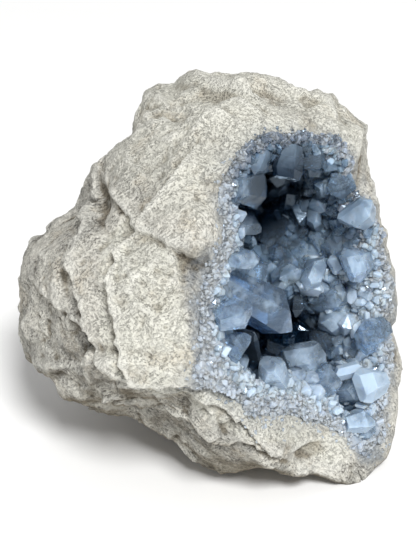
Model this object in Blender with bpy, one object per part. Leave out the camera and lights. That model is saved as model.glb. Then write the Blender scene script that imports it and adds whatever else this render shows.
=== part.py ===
"""Celestite geode: a limestone nodule broken open on one side, so that its hollow shows, and the one
crust of grown-together celestite crystals that lines the hollow. It stands on a small worn flat.

+Z is up, the broken face looks along -Y and a little upwards, and the origin is on the ground below
the middle. Shapes are worked out in millimetres from the nodule's middle, and become metres above
the ground when a mesh is made."""

import itertools
import math

import bmesh
import bpy
import numpy as np

METRES = 0.001


def heading(turn, rise):
    """Unit vector that looks along -Y, turned towards +X and raised from the level, in degrees."""
    turn, rise = math.radians(turn), math.radians(rise)
    return np.array((math.sin(turn) * math.cos(rise), -math.cos(turn) * math.cos(rise), math.sin(rise)))


# The nodule: a rounded body about its middle, drawn square to its front left corner
MIDDLE = np.array((1.69, -0.64, 69.0))
CORNER_OUT = heading(-45.0, 30.0)
CORNER_RIGHT = heading(45.0, 0.0)
CORNER_UP = np.cross(CORNER_OUT, CORNER_RIGHT)
FRONT_DEPTH = 70.0
BACK_DEPTH = 62.0
ROUNDNESS = 2.3  # 2 is an ellipse, more is boxier
GIRTH_BLEND = 0.42  # how far towards front and back the girth's own bumps are felt
SLOW_WAVES = 5
# The girth, seen square to the corner, from the right round by the top
GIRTH = np.array((
    (72, -7), (72, 4), (67, 14), (62, 33), (58, 45), (58, 56), (59, 61), (52, 67), (48, 70), (46, 74),
    (36, 74), (22, 75), (13, 81), (-3, 82), (-8, 84), (-14, 81), (-17, 78), (-24, 78), (-28, 76),
    (-32, 66), (-35, 58), (-41, 49), (-49, 46), (-52, 39), (-56, 29), (-67, 21), (-72, 17), (-76, 8),
    (-77, 3), (-75, -7), (-76, -20), (-73, -29), (-64, -39), (-61, -47), (-54, -50), (-43, -53),
    (-36, -53), (-32, -56), (-22, -59), (-12, -65), (-5, -73), (2, -76), (9, -76), (15, -73), (21, -73),
    (29, -76), (41, -78), (50, -82), (59, -81), (65, -75), (71, -72), (73, -57), (73, -43), (76, -36),
    (71, -22),
))

# The broken face: nearly flat, leaning back, and standing prouder on its right
FACE_OUT = heading(0.0, 15.0)
FACE_ACROSS = np.array((1.0, 0.0, 0.0))
FACE_UP = np.cross(FACE_OUT, FACE_ACROSS)
FACE_STANDOFF = 45.0
FACE_SWELL = 7.0
SWELL_START, SWELL_WIDTH = -5.0, 45.0
LOW_LOBES = (((34.0, -66.0), 26.0, 7.0), ((6.0, -88.0), 14.0, 5.0))  # place on it, width, swell
RIM_ROUNDING = 2.5

# The weathered skin's relief
PLATES = 80
PLATE_SEED = 11
PLATE_LIFT = 1.8
PLATE_TILT = 0.1
PLATE_BLEND = 1.5
SWELLS = ((36.0, 4.0), (15.0, 1.8))  # distance between hills, height
OUTLINE_CALM = 0.65  # how much of the relief is held back along the girth, whose outline is drawn

# Ledges: a line seen square to the corner, how far its left side stands up, and how far that lasts
LEDGE_BLEND = 3.0
LEDGES = (
    (((-10, -37), (-21, -37), (-28, -34), (-34, -28), (-37, -16), (-38, -2), (-35, 10), (-28, 20)), -6.5, 26.0),
    (((-36, -34), (-46, -27), (-51, -14), (-53, 6), (-49, 32)), -5.0, 20.0),
    (((-60, -12), (-50, -22), (-41, -32), (-32, -37), (-12, -41), (0, -46), (10, -55)), 4.0, 16.0),
    (((-26, -51), (-14, -53), (-5, -59), (2, -63), (14, -64)), 4.0, 12.0),
    (((-33, 24), (-29, 19), (-20, 13), (-13, 10)), 3.0, 12.0),
    (((-25, 59), (-12, 66), (5, 69), (19, 64)), -3.0, 10.0),
)
# Pits and clefts: where, seen square to the corner, their depth and half-widths
PITS = (
    ((-15, 64), 4.5, (4.0, 2.5)),
    ((-45, 33), 8.0, (3.5, 9.0)),
    ((-32, -8), 1.5, (3.0, 2.0)),
    ((-5, 4), 3.0, (6.0, 6.0)),
    ((37, -69), 9.0, (6.0, 4.0)),
)

# The hollow, laid out on the broken face: its border, then the edge of its open mouth
HOLLOW_DEPTH = 55.0
BORDER = np.array((
    (43, 5), (42, 14), (38, 25), (35, 36), (33, 47), (29, 54), (21, 59), (10, 62), (-2, 65), (-14, 65),
    (-24, 58), (-30, 51), (-29, 41), (-31, 33), (-37, 28), (-44, 22), (-48, 16), (-50, 10), (-52, -1),
    (-56, -7), (-55, -14), (-46, -21), (-38, -28), (-32, -37), (-19, -42), (-6, -48), (2, -56), (9, -64),
    (11, -73), (17, -79), (23, -75), (29, -66), (33, -58), (36, -48), (39, -36), (41, -26), (47, -16),
    (46, -4),
))
MOUTH = np.array((
    (35, 2), (34, 17), (31, 32), (30, 42), (25, 49), (13, 52), (0, 55), (-9, 56), (-16, 51), (-20, 44),
    (-21, 37), (-24, 27), (-31, 21), (-38, 13), (-39, 1), (-38, -7), (-34, -16), (-27, -23), (-13, -28),
    (-2, -41), (7, -45), (12, -58), (18, -68), (22, -56), (27, -46), (32, -35), (34, -23), (38, -12),
))
CRUST_THICKNESS = 8.0
CRUST_GAP = 0.3
PAST_FACE = 12.0
WALL_FULLNESS = 0.75  # 1 is an ellipse, less is boxier
# How steeply the wall leaves the border: gently above the low lobe and below the top
STEEP = 0.9
GENTLE_PLACES = ((-75.0, 20.0, 1.3), (100.0, 25.0, 0.4))  # turn, spread, added
FLARES = ((40.0, 45.0, 0.16), (180.0, 50.0, 0.10))  # turn, spread, how far the wall widens behind the rim
# Mounds of the crust: across, up and depth from the face, then width and height
MOUNDS = (
    ((36.0, -8.0, 29.0), 15.0, 18.0),
    ((26.0, 0.0, 40.0), 12.0, 10.0),
    ((-28.0, 12.0, 14.0), 10.0, 6.0),
    ((0.0, -34.0, 12.0), 9.0, 5.0),
    ((20.0, -44.0, 10.0), 8.0, 5.0),
)

# Facets
ROCK_FACETS, ROCK_DIVISIONS = 3600, 6
AROUND, INWARD = 36, 6  # of the hollow's wall

# Celestite crystal: a prism of four lozenge sides and two flat ones, ended by a chisel of the flat
# ones. The turns of its sides about its axis, in degrees, and which of them are the flat ones
SIDE_TURNS = np.array((38.0, 90.0, 142.0, 218.0, 270.0, 322.0))
FLAT_SIDES = np.array((False, True, False, False, True, False))
ROOT_SHARE = 0.65  # a crystal widens from its root
ROOT_SINK = 3.0
CRYSTAL_SEED = 5
SPACING = 15.0
NARROWEST, BROADEST = 8.5, 12.5
# A pocket without large crystals: the ends of its middle line, as across, up and depth from the
# face, and its half-width
BARE_POCKET = ((0.0, -30.0, 8.0), (18.0, -31.0, 38.0))
BARE_WIDTH = 12.0
# The largest crystals: root and tip as across, up and depth from the face, then breadth,
# flatness, twist in degrees and bluntness
LARGE_CRYSTALS = (
    ((-34, 20, 12), (-2, -9, 7), 18, 0.75, 20, 0.2),
    ((-20, 14, 12), (-5, 9, 10), 8, 0.7, 60, 0.2),
    ((-17, -34, 13), (-21, -7, 9), 7, 0.5, 10, 0.05),
    ((4, -50, 12), (6, -25, 11), 15, 0.9, 40, 0.35),
    ((-16, -46, 9), (-14, -30, 9), 14, 1.0, 70, 0.5),
    ((-24, -36, 10), (-18, -29, 10), 9, 0.9, 10, 0.4),
    ((30, 42, 30), (17, 33, 26), 11, 0.8, 30, 0.4),
    ((36, 49, 12), (31, 38, 13), 14, 0.5, 80, 0.3),
    ((45, 27, 30), (30, 21, 22), 10, 0.9, 15, 0.3),
    ((50, 3, 18), (34, 7, 10), 15, 0.9, 50, 0.4),
    ((47, -23, 25), (23, -9, 16), 14, 0.8, 25, 0.3),
    ((46, -34, 25), (24, -18, 14), 12, 0.9, 65, 0.4),
    ((41, 3, 42), (24, 2, 24), 13, 0.9, 35, 0.3),
    ((44, -10, 36), (32, -1, 22), 12, 0.8, 5, 0.3),
    ((31, -19, 42), (16, -5, 26), 13, 0.9, 45, 0.4),
    ((42, -43, 18), (28, -31, 9), 10, 0.9, 20, 0.6),
    ((25, -56, 12), (18, -45, 8), 13, 0.9, 55, 0.6),
    ((21, -75, 9), (19, -62, 6), 10, 0.9, 30, 0.5),
    ((-18, 32, 8), (-7, 31, 8), 8, 0.8, 40, 0.4),
    ((-11, 54, 8), (-3, 51, 8), 7, 0.8, 10, 0.3),
    ((-36, 11, 9), (-28, 13, 6), 9, 0.8, 60, 0.3),
    ((-40, 0, 9), (-32, 1, 7), 9, 0.8, 30, 0.4),
    ((27, 19, 45), (20, 15, 30), 14, 0.9, 15, 0.3),
    ((50, 22, 16), (39, 27, 9), 10, 0.9, 70, 0.4),
    ((52, -10, 14), (41, -2, 6), 10, 0.8, 35, 0.3),
    ((50, -22, 14), (38, -14, 7), 11, 0.9, 5, 0.4),
    ((44, -47, 12), (32, -37, 5), 9, 0.8, 50, 0.3),
)


def ramp(value):
    """Eases from 0 to 1 as the value goes from 0 to 1."""
    value = np.clip(value, 0.0, 1.0)
    return value * value * (3.0 - 2.0 * value)


def bell(value):
    return np.exp(-value * value)


def unit(vector):
    return vector / np.linalg.norm(vector, axis=-1)[..., None]


DEGREES = np.radians(np.arange(360.0))


def reach_of(outline):
    """How far a closed outline reaches from its own zero, at each whole degree."""
    turn = np.arctan2(outline[:, 1], outline[:, 0])
    reach = np.hypot(outline[:, 0], outline[:, 1])
    order = np.argsort(turn)
    return np.interp(DEGREES, turn[order], reach[order], period=math.tau)


def read(reach, turn):
    return np.interp(turn, DEGREES, reach, period=math.tau)


def slow_part(reach):
    """The outline with only its slowest waves around the circle kept."""
    waves = np.fft.rfft(reach)
    waves[SLOW_WAVES:] = 0.0
    return np.fft.irfft(waves, len(reach))


GIRTH_REACH = reach_of(GIRTH)
SLOW_GIRTH = 0.97 * slow_part(GIRTH_REACH)
BORDER_REACH = reach_of(BORDER)
MOUTH_REACH = reach_of(MOUTH)


def swollen_standoff(across, up):
    """How far the broken face stands from the middle, by the place on it."""
    standoff = FACE_STANDOFF + FACE_SWELL * ramp((across - SWELL_START) / SWELL_WIDTH)
    for (lobe_across, lobe_up), width, swell in LOW_LOBES:
        standoff = standoff + swell * bell(np.hypot(across - lobe_across, up - lobe_up) / width)
    return standoff


def nodule_radius(aim):
    """Reach along unit vectors: a rounded body cut, with a rounded rim, by the face."""
    right, up, out = aim @ CORNER_RIGHT, aim @ CORNER_UP, aim @ CORNER_OUT
    turn = np.arctan2(up, right)
    near_girth = bell(out / GIRTH_BLEND)
    girth = near_girth * read(GIRTH_REACH, turn) + (1.0 - near_girth) * read(SLOW_GIRTH, turn)
    depth = np.where(out > 0.0, FRONT_DEPTH, BACK_DEPTH)
    body = ((np.hypot(right, up) / girth) ** ROUNDNESS + (np.abs(out) / depth) ** ROUNDNESS) ** (-1 / ROUNDNESS)
    facing = np.maximum(aim @ FACE_OUT, 0.05)
    across = FACE_STANDOFF * (aim @ FACE_ACROSS) / facing
    up = FACE_STANDOFF * (aim @ FACE_UP) / facing
    face = swollen_standoff(across, up) / facing
    return -RIM_ROUNDING * np.log(np.exp(-body / RIM_ROUNDING) + np.exp(-face / RIM_ROUNDING))


def lattice_slope(cell, seed):
    """A repeatable random slope for each cell of a lattice, mixed from its three whole numbers."""
    mixed = (cell @ np.array((374761393, 668265263, 1442695041)) + seed * 974634777) & 0xFFFFFFFF
    mixed = ((mixed ^ (mixed >> 13)) * 1274126177) & 0xFFFFFFFF
    mixed ^= mixed >> 16
    return np.stack([((mixed >> shift) & 1023) / 511.5 - 1.0 for shift in (0, 10, 20)], axis=-1)


def hills(point, wave, seed):
    """Smooth random hills one wave apart, about -0.5 to 0.5 high."""
    cell = np.floor(point / wave).astype(np.int64)
    within = point / wave - cell
    ease = within**3 * (within * (within * 6.0 - 15.0) + 10.0)
    total = np.zeros(len(point))
    for corner in itertools.product((0, 1), repeat=3):
        share = np.prod(np.where(np.array(corner) == 1, ease, 1.0 - ease), axis=1)
        total += share * ((within - corner) * lattice_slope(cell + corner, seed)).sum(axis=1)
    return total


def plates(point):
    """Fracture plates: near each random seed the skin is lifted and tilted as one flat piece."""
    dice = np.random.default_rng(PLATE_SEED)
    aim = unit(dice.normal(size=(PLATES, 3)))
    seeds = aim * nodule_radius(aim)[:, None]
    lift = dice.uniform(-PLATE_LIFT, PLATE_LIFT, PLATES)
    tilt = dice.normal(0.0, PLATE_TILT, (PLATES, 3))
    gap = np.linalg.norm(point[:, None] - seeds[None], axis=2)
    share = np.exp((gap.min(axis=1)[:, None] - gap) / PLATE_BLEND)
    height = lift + point @ tilt.T - (seeds * tilt).sum(axis=1)
    return (share * height).sum(axis=1) / share.sum(axis=1)


def beside(place, line):
    """Signed distance from places to a bent line in a plane, above zero on its left."""
    nearest = np.full(len(place), np.inf)
    signed = np.zeros(len(place))
    for start, end in zip(line[:-1], line[1:]):
        along = np.subtract(end, start)
        from_start = place - start
        part = np.clip(from_start @ along / (along @ along), 0.0, 1.0)
        away = from_start - part[:, None] * along
        gap = np.hypot(away[:, 0], away[:, 1])
        side = np.sign(along[0] * from_start[:, 1] - along[1] * from_start[:, 0])
        closer = gap < nearest
        nearest = np.where(closer, gap, nearest)
        signed = np.where(closer, gap * side, signed)
    return signed


def relief(point):
    """How far the weathered skin stands off the smooth nodule."""
    place = np.stack((point @ CORNER_RIGHT, point @ CORNER_UP), axis=1)
    nearness = point @ CORNER_OUT
    height = plates(point)
    for seed, (wave, rise) in enumerate(SWELLS):
        height = height + rise * hills(point, wave, seed)
    shown = ramp((nearness - 5.0) / 20.0)
    for line, rise, lasts in LEDGES:
        gap = beside(place, line)
        height = height + shown * rise * (ramp(0.5 + gap / LEDGE_BLEND) - 0.5) * bell(gap / lasts)
    for spot, depth, (wide, high) in PITS:
        away = (place - spot) / (wide, high)
        height = height - ramp((nearness + 5.0) / 20.0) * depth * bell(np.hypot(away[:, 0], away[:, 1]))
    return height * (1.0 - OUTLINE_CALM * bell(nearness / 18.0))


def skin(aim):
    """Points of the nodule's surface along unit vectors, the broken face included."""
    radius = nodule_radius(aim)
    return aim * (radius + relief(aim * radius[:, None]))[:, None]


def face_point(across, up, sink):
    """Points by their place on the broken face and their depth behind it."""
    out = swollen_standoff(across, up) - sink
    return across[..., None] * FACE_ACROSS + up[..., None] * FACE_UP + out[..., None] * FACE_OUT


def bumps_around(turn, places):
    """Adds up bells centred on turns in degrees, around the full circle."""
    total = 0.0
    for centre, spread, height in places:
        away = (np.degrees(turn) - centre + 180.0) % 360.0 - 180.0
        total = total + height * bell(away / spread)
    return total


def bowl(turn, slide, reach, depth):
    """Points of a bowl behind the face: slide 0 is its edge on the face, and 1 its deepest point."""
    sweep = slide * math.pi / 2.0
    away = read(reach, turn) * np.maximum(np.cos(sweep), 0.0) ** WALL_FULLNESS
    away = away * (1.0 + bumps_around(turn, FLARES) * np.sin(2.0 * sweep))
    sink = depth * np.sin(sweep) ** (STEEP + bumps_around(turn, GENTLE_PLACES))
    return face_point(away * np.cos(turn), away * np.sin(turn), sink)


HOLLOW_HEART = face_point(np.array(0.0), np.array(0.0), np.array(12.0))


def lining(turn, slide):
    """Points of the crust's inner surface, which the crystals stand on, with its mounds."""
    point = bowl(turn, slide, MOUTH_REACH, HOLLOW_DEPTH - CRUST_THICKNESS)
    inward = unit(HOLLOW_HEART - point)
    rise = 0.0
    for place, width, height in MOUNDS:
        crest = face_point(*(np.array(value) for value in place))
        rise = rise + height * bell(np.linalg.norm(point - crest, axis=-1) / width)
    return point + inward * np.asarray(rise)[..., None]


def lining_spots():
    """Spots all over the lining, each with the direction that stands square off it into the hollow."""
    turn, slide = np.meshgrid(np.arange(120) * math.tau / 120, np.linspace(0.0, 0.97, 48))
    nudge = 0.01
    point = lining(turn, slide)
    around = lining(turn + nudge, slide) - point
    inward = lining(turn, slide + nudge) - point
    square = unit(np.cross(around, inward))
    square *= np.sign((square * (HOLLOW_HEART - point)).sum(axis=-1))[..., None]
    return point.reshape(-1, 3), square.reshape(-1, 3)


def crystal_points(root, tip, breadth, flatness, twist, bluntness, dice):
    """Corners of crystals as (crystal, station, side): at each station every side lies at its own
    distance from the axis, and the corners are where neighbouring sides meet."""
    count = len(root)
    axis = unit(tip - root)
    across = unit(np.cross(axis, np.where(np.abs(axis[:, 2:]) < 0.8, (0.0, 0.0, 1.0), (1.0, 0.0, 0.0))))
    beyond = np.cross(axis, across)
    length = np.linalg.norm(tip - root, axis=1)
    body = np.where(FLAT_SIDES, flatness[:, None], 1.0) * dice.uniform(0.85, 1.15, (count, 6))
    end = np.where(FLAT_SIDES, bluntness[:, None], body * dice.uniform(0.65, 0.95, (count, 6)))
    shoulder = 1.0 - np.clip(0.35 * breadth / length, 0.15, 0.5)
    sides = 0.5 * breadth[:, None, None] * np.stack((ROOT_SHARE * body, body, end), axis=1)
    along = length[:, None] * np.stack((np.zeros(count), shoulder, np.ones(count)), axis=1)
    turn = np.radians(SIDE_TURNS) + np.radians(twist)[:, None]
    later_turn, later = np.roll(turn, -1, axis=1), np.roll(sides, -1, axis=2)
    spread = np.sin(later_turn - turn)[:, None]
    x = (sides * np.sin(later_turn)[:, None] - later * np.sin(turn)[:, None]) / spread
    y = (later * np.cos(turn)[:, None] - sides * np.cos(later_turn)[:, None]) / spread
    return (root[:, None, None] + along[..., None, None] * axis[:, None, None]
            + x[..., None] * across[:, None, None] + y[..., None] * beyond[:, None, None])


def off_pocket(point):
    """How far a point is from the middle line of the bare pocket."""
    start, end = (face_point(*(np.array(value) for value in place)) for place in BARE_POCKET)
    share = np.clip((point - start) @ (end - start) / ((end - start) @ (end - start)), 0.0, 1.0)
    return np.linalg.norm(point - start - share * (end - start))


def plan_crystals():
    """The largest crystals by hand, then smaller ones a spacing apart wherever the lining is bare."""
    dice = np.random.default_rng(CRYSTAL_SEED)
    spots, square = lining_spots()
    roots, tips, forms = [], [], []
    for root, tip, *form in LARGE_CRYSTALS:
        root, tip = (face_point(*(np.array(float(value)) for value in place)) for place in (root, tip))
        nearest = np.linalg.norm(spots - root, axis=1).argmin()
        roots.append(spots[nearest] - ROOT_SINK * square[nearest])
        tips.append(tip)
        forms.append(form)
    taken = [(root, form[0]) for root, form in zip(roots, forms)]
    for index in dice.permutation(len(spots)):
        breadth = dice.uniform(NARROWEST, BROADEST)
        spot = spots[index]
        if any(np.linalg.norm(spot - other) < 0.5 * (SPACING + 0.6 * wide) for other, wide in taken):
            continue
        lean = unit(square[index] + dice.normal(0.0, 0.35, 3))
        tip = spot + lean * breadth * dice.uniform(0.6, 1.1)
        if min(off_pocket(spot), off_pocket(tip)) < BARE_WIDTH:
            continue
        taken.append((spot, breadth))
        roots.append(spot - ROOT_SINK * lean)
        tips.append(tip)
        forms.append((breadth, dice.uniform(0.6, 1.1), dice.uniform(0.0, 180.0), dice.uniform(0.15, 0.5)))
    breadth, flatness, twist, bluntness = np.array(forms, float).T
    return crystal_points(np.array(roots), np.array(tips), breadth, flatness, twist, bluntness, dice)


def add_object(name, points, faces):
    """One mesh object, its faces turned outwards."""
    mesh = bpy.data.meshes.new(name)
    mesh.from_pydata(((points + MIDDLE) * METRES).tolist(), [], faces)
    form = bmesh.new()
    form.from_mesh(mesh)
    bmesh.ops.remove_doubles(form, verts=form.verts, dist=1e-7)
    bmesh.ops.recalc_face_normals(form, faces=form.faces)
    form.to_mesh(mesh)
    form.free()
    obj = bpy.data.objects.new(name, mesh)
    bpy.context.collection.objects.link(obj)
    return obj


def add_material(obj, colour, roughness, transmission=0.0, ior=1.5):
    material = bpy.data.materials.new(obj.name)
    material.use_nodes = True
    shader = material.node_tree.nodes["Principled BSDF"]
    shader.inputs["Base Color"].default_value = (*colour, 1.0)
    shader.inputs["Roughness"].default_value = roughness
    shader.inputs["Transmission Weight"].default_value = transmission
    shader.inputs["IOR"].default_value = ior
    obj.data.materials.clear()
    obj.data.materials.append(material)


def ring_faces(rings, sides, capped=True):
    """Quads between neighbouring rings of points, and a flat face over each end ring if capped."""
    quads = [
        (row * sides + side, row * sides + (side + 1) % sides,
         (row + 1) * sides + (side + 1) % sides, (row + 1) * sides + side)
        for row in range(rings - 1)
        for side in range(sides)
    ]
    last = (rings - 1) * sides
    return [*quads, tuple(range(sides))[::-1], tuple(range(last, last + sides))] if capped else quads


def make_helper(obj):
    obj.hide_render = True
    obj.display_type = "WIRE"


def keep_largest_shell(mesh):
    """Removes what is sealed off inside, or cut off outside, the largest shell."""
    form = bmesh.new()
    form.from_mesh(mesh)
    shells = []
    unseen = set(form.verts)
    while unseen:
        shell, edge = set(), {unseen.pop()}
        while edge:
            shell |= edge
            edge = {link.other_vert(vert) for vert in edge for link in vert.link_edges} - shell
        unseen -= shell
        shells.append(shell)
    shells.sort(key=len)
    spare = [vert for shell in shells[:-1] for vert in shell]
    bmesh.ops.delete(form, geom=spare, context="VERTS")
    form.to_mesh(mesh)
    form.free()


def finish(obj):
    """Turns the object's modifiers into its mesh."""
    evaluated = obj.evaluated_get(bpy.context.evaluated_depsgraph_get())
    obj.data = bpy.data.meshes.new_from_object(evaluated)
    obj.modifiers.clear()
    keep_largest_shell(obj.data)


def cut_or_join(obj, operation, operand, solver="EXACT"):
    """A Boolean with one object or with all of a collection."""
    modifier = obj.modifiers.new(operation.title(), "BOOLEAN")
    modifier.operation = operation
    modifier.solver = solver
    if isinstance(operand, bpy.types.Collection):
        modifier.operand_type = "COLLECTION"
        modifier.collection = operand
    else:
        modifier.object = operand
    finish(obj)


def wall_rings(inset):
    """Rings of the hollow's wall from its deepest point out to its border on the face."""
    turn = np.arange(AROUND) * math.tau / AROUND
    return [bowl(turn, np.full(AROUND, slide), BORDER_REACH - inset, HOLLOW_DEPTH - inset)
            for slide in np.linspace(1.0, 0.0, INWARD)]


def add_hollow(name, inset):
    """The hollow's room as a solid that stands out past the face, for cutting with."""
    rings = wall_rings(inset)
    rings.append(rings[-1] + PAST_FACE * FACE_OUT)
    points = np.concatenate([*rings, rings[-1].mean(axis=0)[None].repeat(AROUND, axis=0)])
    hollow = add_object(name, points, ring_faces(len(rings) + 1, AROUND, capped=False))
    make_helper(hollow)
    return hollow


def make_rock():
    """The limestone: a ball of facets moved out to the skin, with a foot worn flat and level, and
    with the hollow taken out."""
    form = bmesh.new()
    bmesh.ops.create_icosphere(form, subdivisions=ROCK_DIVISIONS, radius=1.0)
    aim = unit(np.array([vert.co[:] for vert in form.verts]))
    faces = [[vert.index for vert in face.verts] for face in form.faces]
    form.free()
    rock = add_object("matrix_rock", skin(aim), faces)
    fewer = rock.modifiers.new("Fewer facets", "DECIMATE")
    fewer.ratio = ROCK_FACETS / len(faces)
    finish(rock)
    form = bmesh.new()
    form.from_mesh(rock.data)
    cut = bmesh.ops.bisect_plane(
        form, geom=[*form.verts, *form.edges, *form.faces],
        plane_co=(0, 0, 0), plane_no=(0, 0, -1), clear_outer=True,
    )
    rim = [item for item in cut["geom_cut"] if isinstance(item, bmesh.types.BMEdge)]
    bmesh.ops.edgeloop_fill(form, edges=rim)
    form.to_mesh(rock.data)
    form.free()
    cut_or_join(rock, "DIFFERENCE", add_hollow("hollow", 0.0))
    add_material(rock, (0.55, 0.54, 0.48), 0.9)


def make_crust():
    """The celestite: its base follows the wall, turns over the border and follows the lining back,
    and the crystals that stand on it are joined to it and kept clear of the rock."""
    turn = np.arange(AROUND) * math.tau / AROUND
    rings = wall_rings(2.0 * CRUST_GAP)
    rings += [lining(turn, np.full(AROUND, slide)) for slide in np.linspace(0.0, 1.0, INWARD)]
    crust = add_object("celestite_crust", np.concatenate(rings), ring_faces(len(rings), AROUND, capped=False))
    crystals = bpy.data.collections.new("crystals")
    bpy.context.scene.collection.children.link(crystals)
    crystals.hide_render = True
    for number, corners in enumerate(plan_crystals()):
        crystal = add_object(f"crystal_{number}", corners.reshape(-1, 3), ring_faces(3, 6))
        bpy.context.collection.objects.unlink(crystal)
        crystals.objects.link(crystal)
        make_helper(crystal)
    # The exact solver leaves open edges where this many crystals cross
    cut_or_join(crust, "UNION", crystals, "MANIFOLD")
    cut_or_join(crust, "INTERSECT", add_hollow("crust_room", CRUST_GAP), "MANIFOLD")
    add_material(crust, (0.30, 0.42, 0.58), 0.1, transmission=0.6, ior=1.62)


for old in list(bpy.data.objects):
    bpy.data.objects.remove(old)
make_rock()
make_crust()
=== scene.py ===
"""Celestite geode on a pale studio floor: the weathered limestone nodule, the crust of celestite that
lines its hollow, and the crystals that stand on the crust, from large ones to sugary grains. Shapes are
worked out in millimetres from the nodule's middle, and become metres above the ground in the mesh."""

import itertools
import math

import bpy
import numpy as np
from mathutils import Matrix


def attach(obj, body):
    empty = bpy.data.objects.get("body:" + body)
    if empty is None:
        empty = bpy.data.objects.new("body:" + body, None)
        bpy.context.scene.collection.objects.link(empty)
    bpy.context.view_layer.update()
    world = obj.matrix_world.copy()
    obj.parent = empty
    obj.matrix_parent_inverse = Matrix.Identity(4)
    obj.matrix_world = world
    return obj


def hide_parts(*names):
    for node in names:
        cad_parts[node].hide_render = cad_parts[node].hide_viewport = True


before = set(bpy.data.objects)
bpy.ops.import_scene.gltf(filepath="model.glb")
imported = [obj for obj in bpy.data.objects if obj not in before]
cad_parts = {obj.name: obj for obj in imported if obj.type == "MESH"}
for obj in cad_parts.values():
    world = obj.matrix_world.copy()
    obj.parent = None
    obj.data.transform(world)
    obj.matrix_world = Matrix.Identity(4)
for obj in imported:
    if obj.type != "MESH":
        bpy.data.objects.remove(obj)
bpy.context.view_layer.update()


# The limestone nodule
# A weathered, pale grey limestone nodule, broken open on one side by a blow. Its skin is plates and
# chips left by old breaks, dulled by weather, and it stands on a spot that is worn flat and level.

METRES = 0.001  # in a millimetre


def heading(turn, rise):
    """Unit vector that looks along -Y, turned towards +X and raised from the level, in degrees."""
    turn, rise = math.radians(turn), math.radians(rise)
    return np.array((math.sin(turn) * math.cos(rise), -math.cos(turn) * math.cos(rise), math.sin(rise)))


# The nodule's middle over the ground, and three directions from its front left corner
MIDDLE = np.array((1.69, -0.64, 69.0))
CORNER_OUT = heading(-45.0, 30.0)
CORNER_RIGHT = heading(45.0, 0.0)
CORNER_UP = np.cross(CORNER_OUT, CORNER_RIGHT)
# How far it reaches before and behind its girth, and how full its sections are
FRONT_DEPTH = 70.0
BACK_DEPTH = 62.0
ROUNDNESS = 2.3
# Away from the girth its outline softens: how fast, to how many waves, and to what share of its size
GIRTH_BLEND = 0.42
SLOW_WAVES = 5
SLOW_SHARE = 0.97
# The girth, seen square to the front left corner, from the right round by the top
GIRTH = np.array((
    (72, -7), (72, 4), (67, 14), (62, 33), (58, 45), (58, 56), (59, 61), (52, 67), (48, 70), (46, 74),
    (36, 74), (22, 75), (13, 81), (-3, 82), (-8, 84), (-14, 81), (-17, 78), (-24, 78), (-28, 76),
    (-32, 66), (-35, 58), (-41, 49), (-49, 46), (-52, 39), (-56, 29), (-67, 21), (-72, 17), (-76, 8),
    (-77, 3), (-75, -7), (-76, -20), (-73, -29), (-64, -39), (-61, -47), (-54, -50), (-43, -53),
    (-36, -53), (-32, -56), (-22, -59), (-12, -65), (-5, -73), (2, -76), (9, -76), (15, -73), (21, -73),
    (29, -76), (41, -78), (50, -82), (59, -81), (65, -75), (71, -72), (73, -57), (73, -43), (76, -36),
    (71, -22),
))
# The broken face: its directions, how far it stands from the middle, and how it swells on the right
FACE_OUT = heading(0.0, 15.0)
FACE_ACROSS = np.array((1.0, 0.0, 0.0))
FACE_UP = np.cross(FACE_OUT, FACE_ACROSS)
FACE_STANDOFF = 45.0
FACE_SWELL = 7.0
SWELL_START, SWELL_WIDTH = -5.0, 45.0
LEAST_FACING = 0.05  # for directions along the face or away from it
# Lobes low on the face: place across and up, width and swell
LOW_LOBES = (((34.0, -66.0), 26.0, 7.0), ((6.0, -88.0), 14.0, 5.0))
RIM_ROUNDING = 2.5
# The skin's large relief: fracture plates, then hills as wave and rise
PLATES = 80
PLATE_SEED = 11
PLATE_LIFT = 1.8
PLATE_TILT = 0.1
PLATE_BLEND = 1.5
SWELLS = ((36.0, 4.0), (15.0, 1.8))
# Relief is held back by this share at the girth, within this distance of it
OUTLINE_CALM, CALM_WIDTH = 0.65, 18.0
# Ledges and pits fade in from here in front of the girth
LEDGES_FROM, PITS_FROM, FADE_IN = 5.0, -5.0, 20.0
# Ledges, seen square to the corner: a bent line, its step, and how far the step is felt. Their edges
# are ragged, by wave and rise
LEDGE_BLEND = 2.0
RAGGED = ((12.0, 3.5), (5.0, 2.0), (2.4, 0.8))
LEDGES = (
    (((-10, -37), (-21, -37), (-28, -34), (-34, -28), (-37, -16), (-38, -2), (-35, 10), (-28, 20)),
     -6.5, 26.0),
    (((-36, -34), (-46, -27), (-51, -14), (-53, 6), (-49, 32)), -5.0, 20.0),
    (((-60, -12), (-50, -22), (-41, -32), (-32, -37), (-12, -41), (0, -46), (10, -55)), 4.0, 16.0),
    (((-26, -51), (-14, -53), (-5, -59), (2, -63), (14, -64)), 4.0, 12.0),
    (((-33, 24), (-29, 19), (-20, 13), (-13, 10)), 3.0, 12.0),
    (((-25, 59), (-12, 66), (5, 69), (19, 64)), -3.0, 10.0),
)
# Pits: place, depth, and half-width and half-height
PITS = (
    ((-15, 64), 4.5, (4.0, 2.5)),
    ((-45, 33), 8.0, (3.5, 9.0)),
    ((-32, -8), 1.5, (3.0, 2.0)),
    ((-5, 4), 3.0, (6.0, 6.0)),
    ((37, -69), 9.0, (6.0, 4.0)),
)
# The skin's fine relief: chips as size and rise, crumbs as wave and rise, and how cells are bent
CHIPS = ((14.0, 2.4), (7.0, 1.0), (3.2, 0.5))
CRUMBS = ((2.2, 0.35), (1.5, 0.25))
BEND, BEND_WAVE = 1.5, 9.0
# A chip's centre strays this share of a cell, its edge is this sharp, and this much lifts and slopes
CHIP_STRAY, CHIP_SHARPNESS, CHIP_LIFT, CHIP_SLOPE = 0.42, 28.0, 0.2, 0.8
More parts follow.
